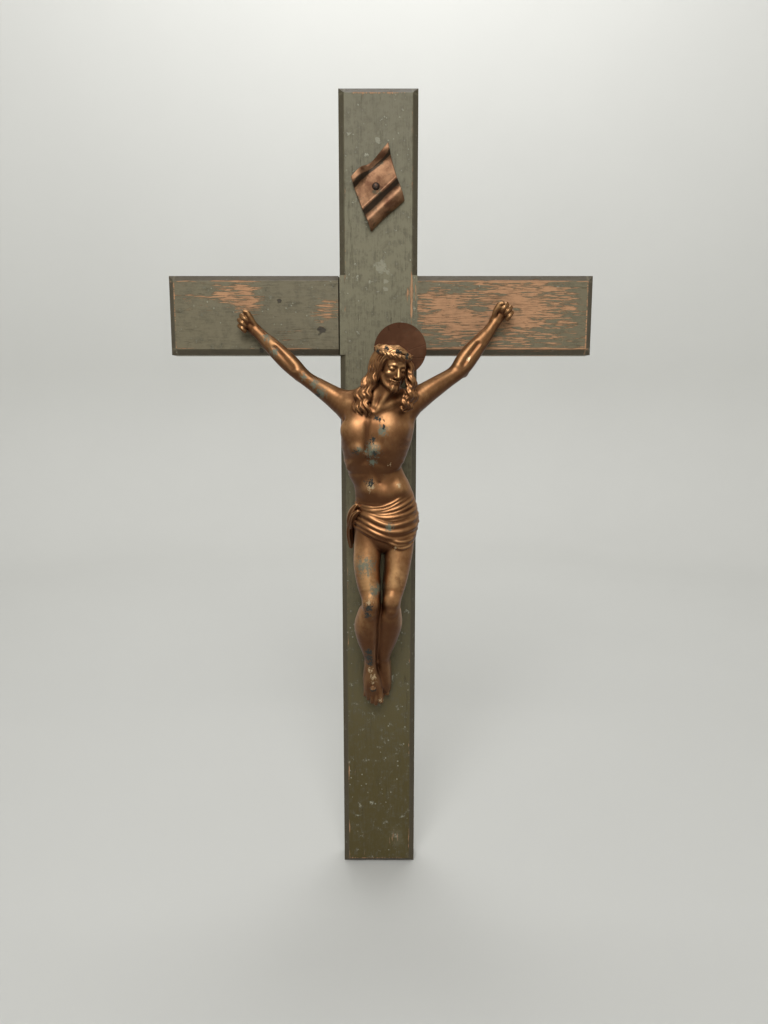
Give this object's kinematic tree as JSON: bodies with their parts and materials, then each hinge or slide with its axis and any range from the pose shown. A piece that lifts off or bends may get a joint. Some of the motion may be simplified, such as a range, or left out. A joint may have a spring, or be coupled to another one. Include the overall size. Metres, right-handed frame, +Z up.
{
  "type": "wall crucifix",
  "caption": "Wall crucifix: a worn painted wooden cross with a halved joint carries a nailed cast metal figure with a halo disc, below a bare curled plaque; it hangs from a blind hole behind.",
  "frame": {"origin": "mouth of the blind hanging hole, on the upright's back", "axes": "+Z up along the upright, +Y out of the back towards the wall, the figure faces -Y"},
  "size_m": [0.309, 0.0806, 0.59],
  "materials": {
    "painted_wood": "aged grey-green paint worn through to orange wood along the grain",
    "screw_steel": "dulled slotted steel screws",
    "figure_bronze": "satin bronze finish with chips and green tarnish",
    "dark_copper": "dark browned copper, polished on the edges",
    "nail_iron": "black round-headed nail",
    "nail_bronze": "bronze-coloured nail heads"
  },
  "bodies": {
    "root": {"upright": "painted_wood", "crossbar": "painted_wood", "lap_screws": "screw_steel", "corpus_body": "figure_bronze", "corpus_right_arm": "figure_bronze", "corpus_left_arm": "figure_bronze", "halo": "dark_copper", "halo_pin": "figure_bronze", "scroll": "dark_copper", "scroll_nail": "nail_iron", "right_hand_nail": "nail_bronze", "left_hand_nail": "nail_bronze", "foot_nail": "nail_bronze"}
  },
  "joints": []
}
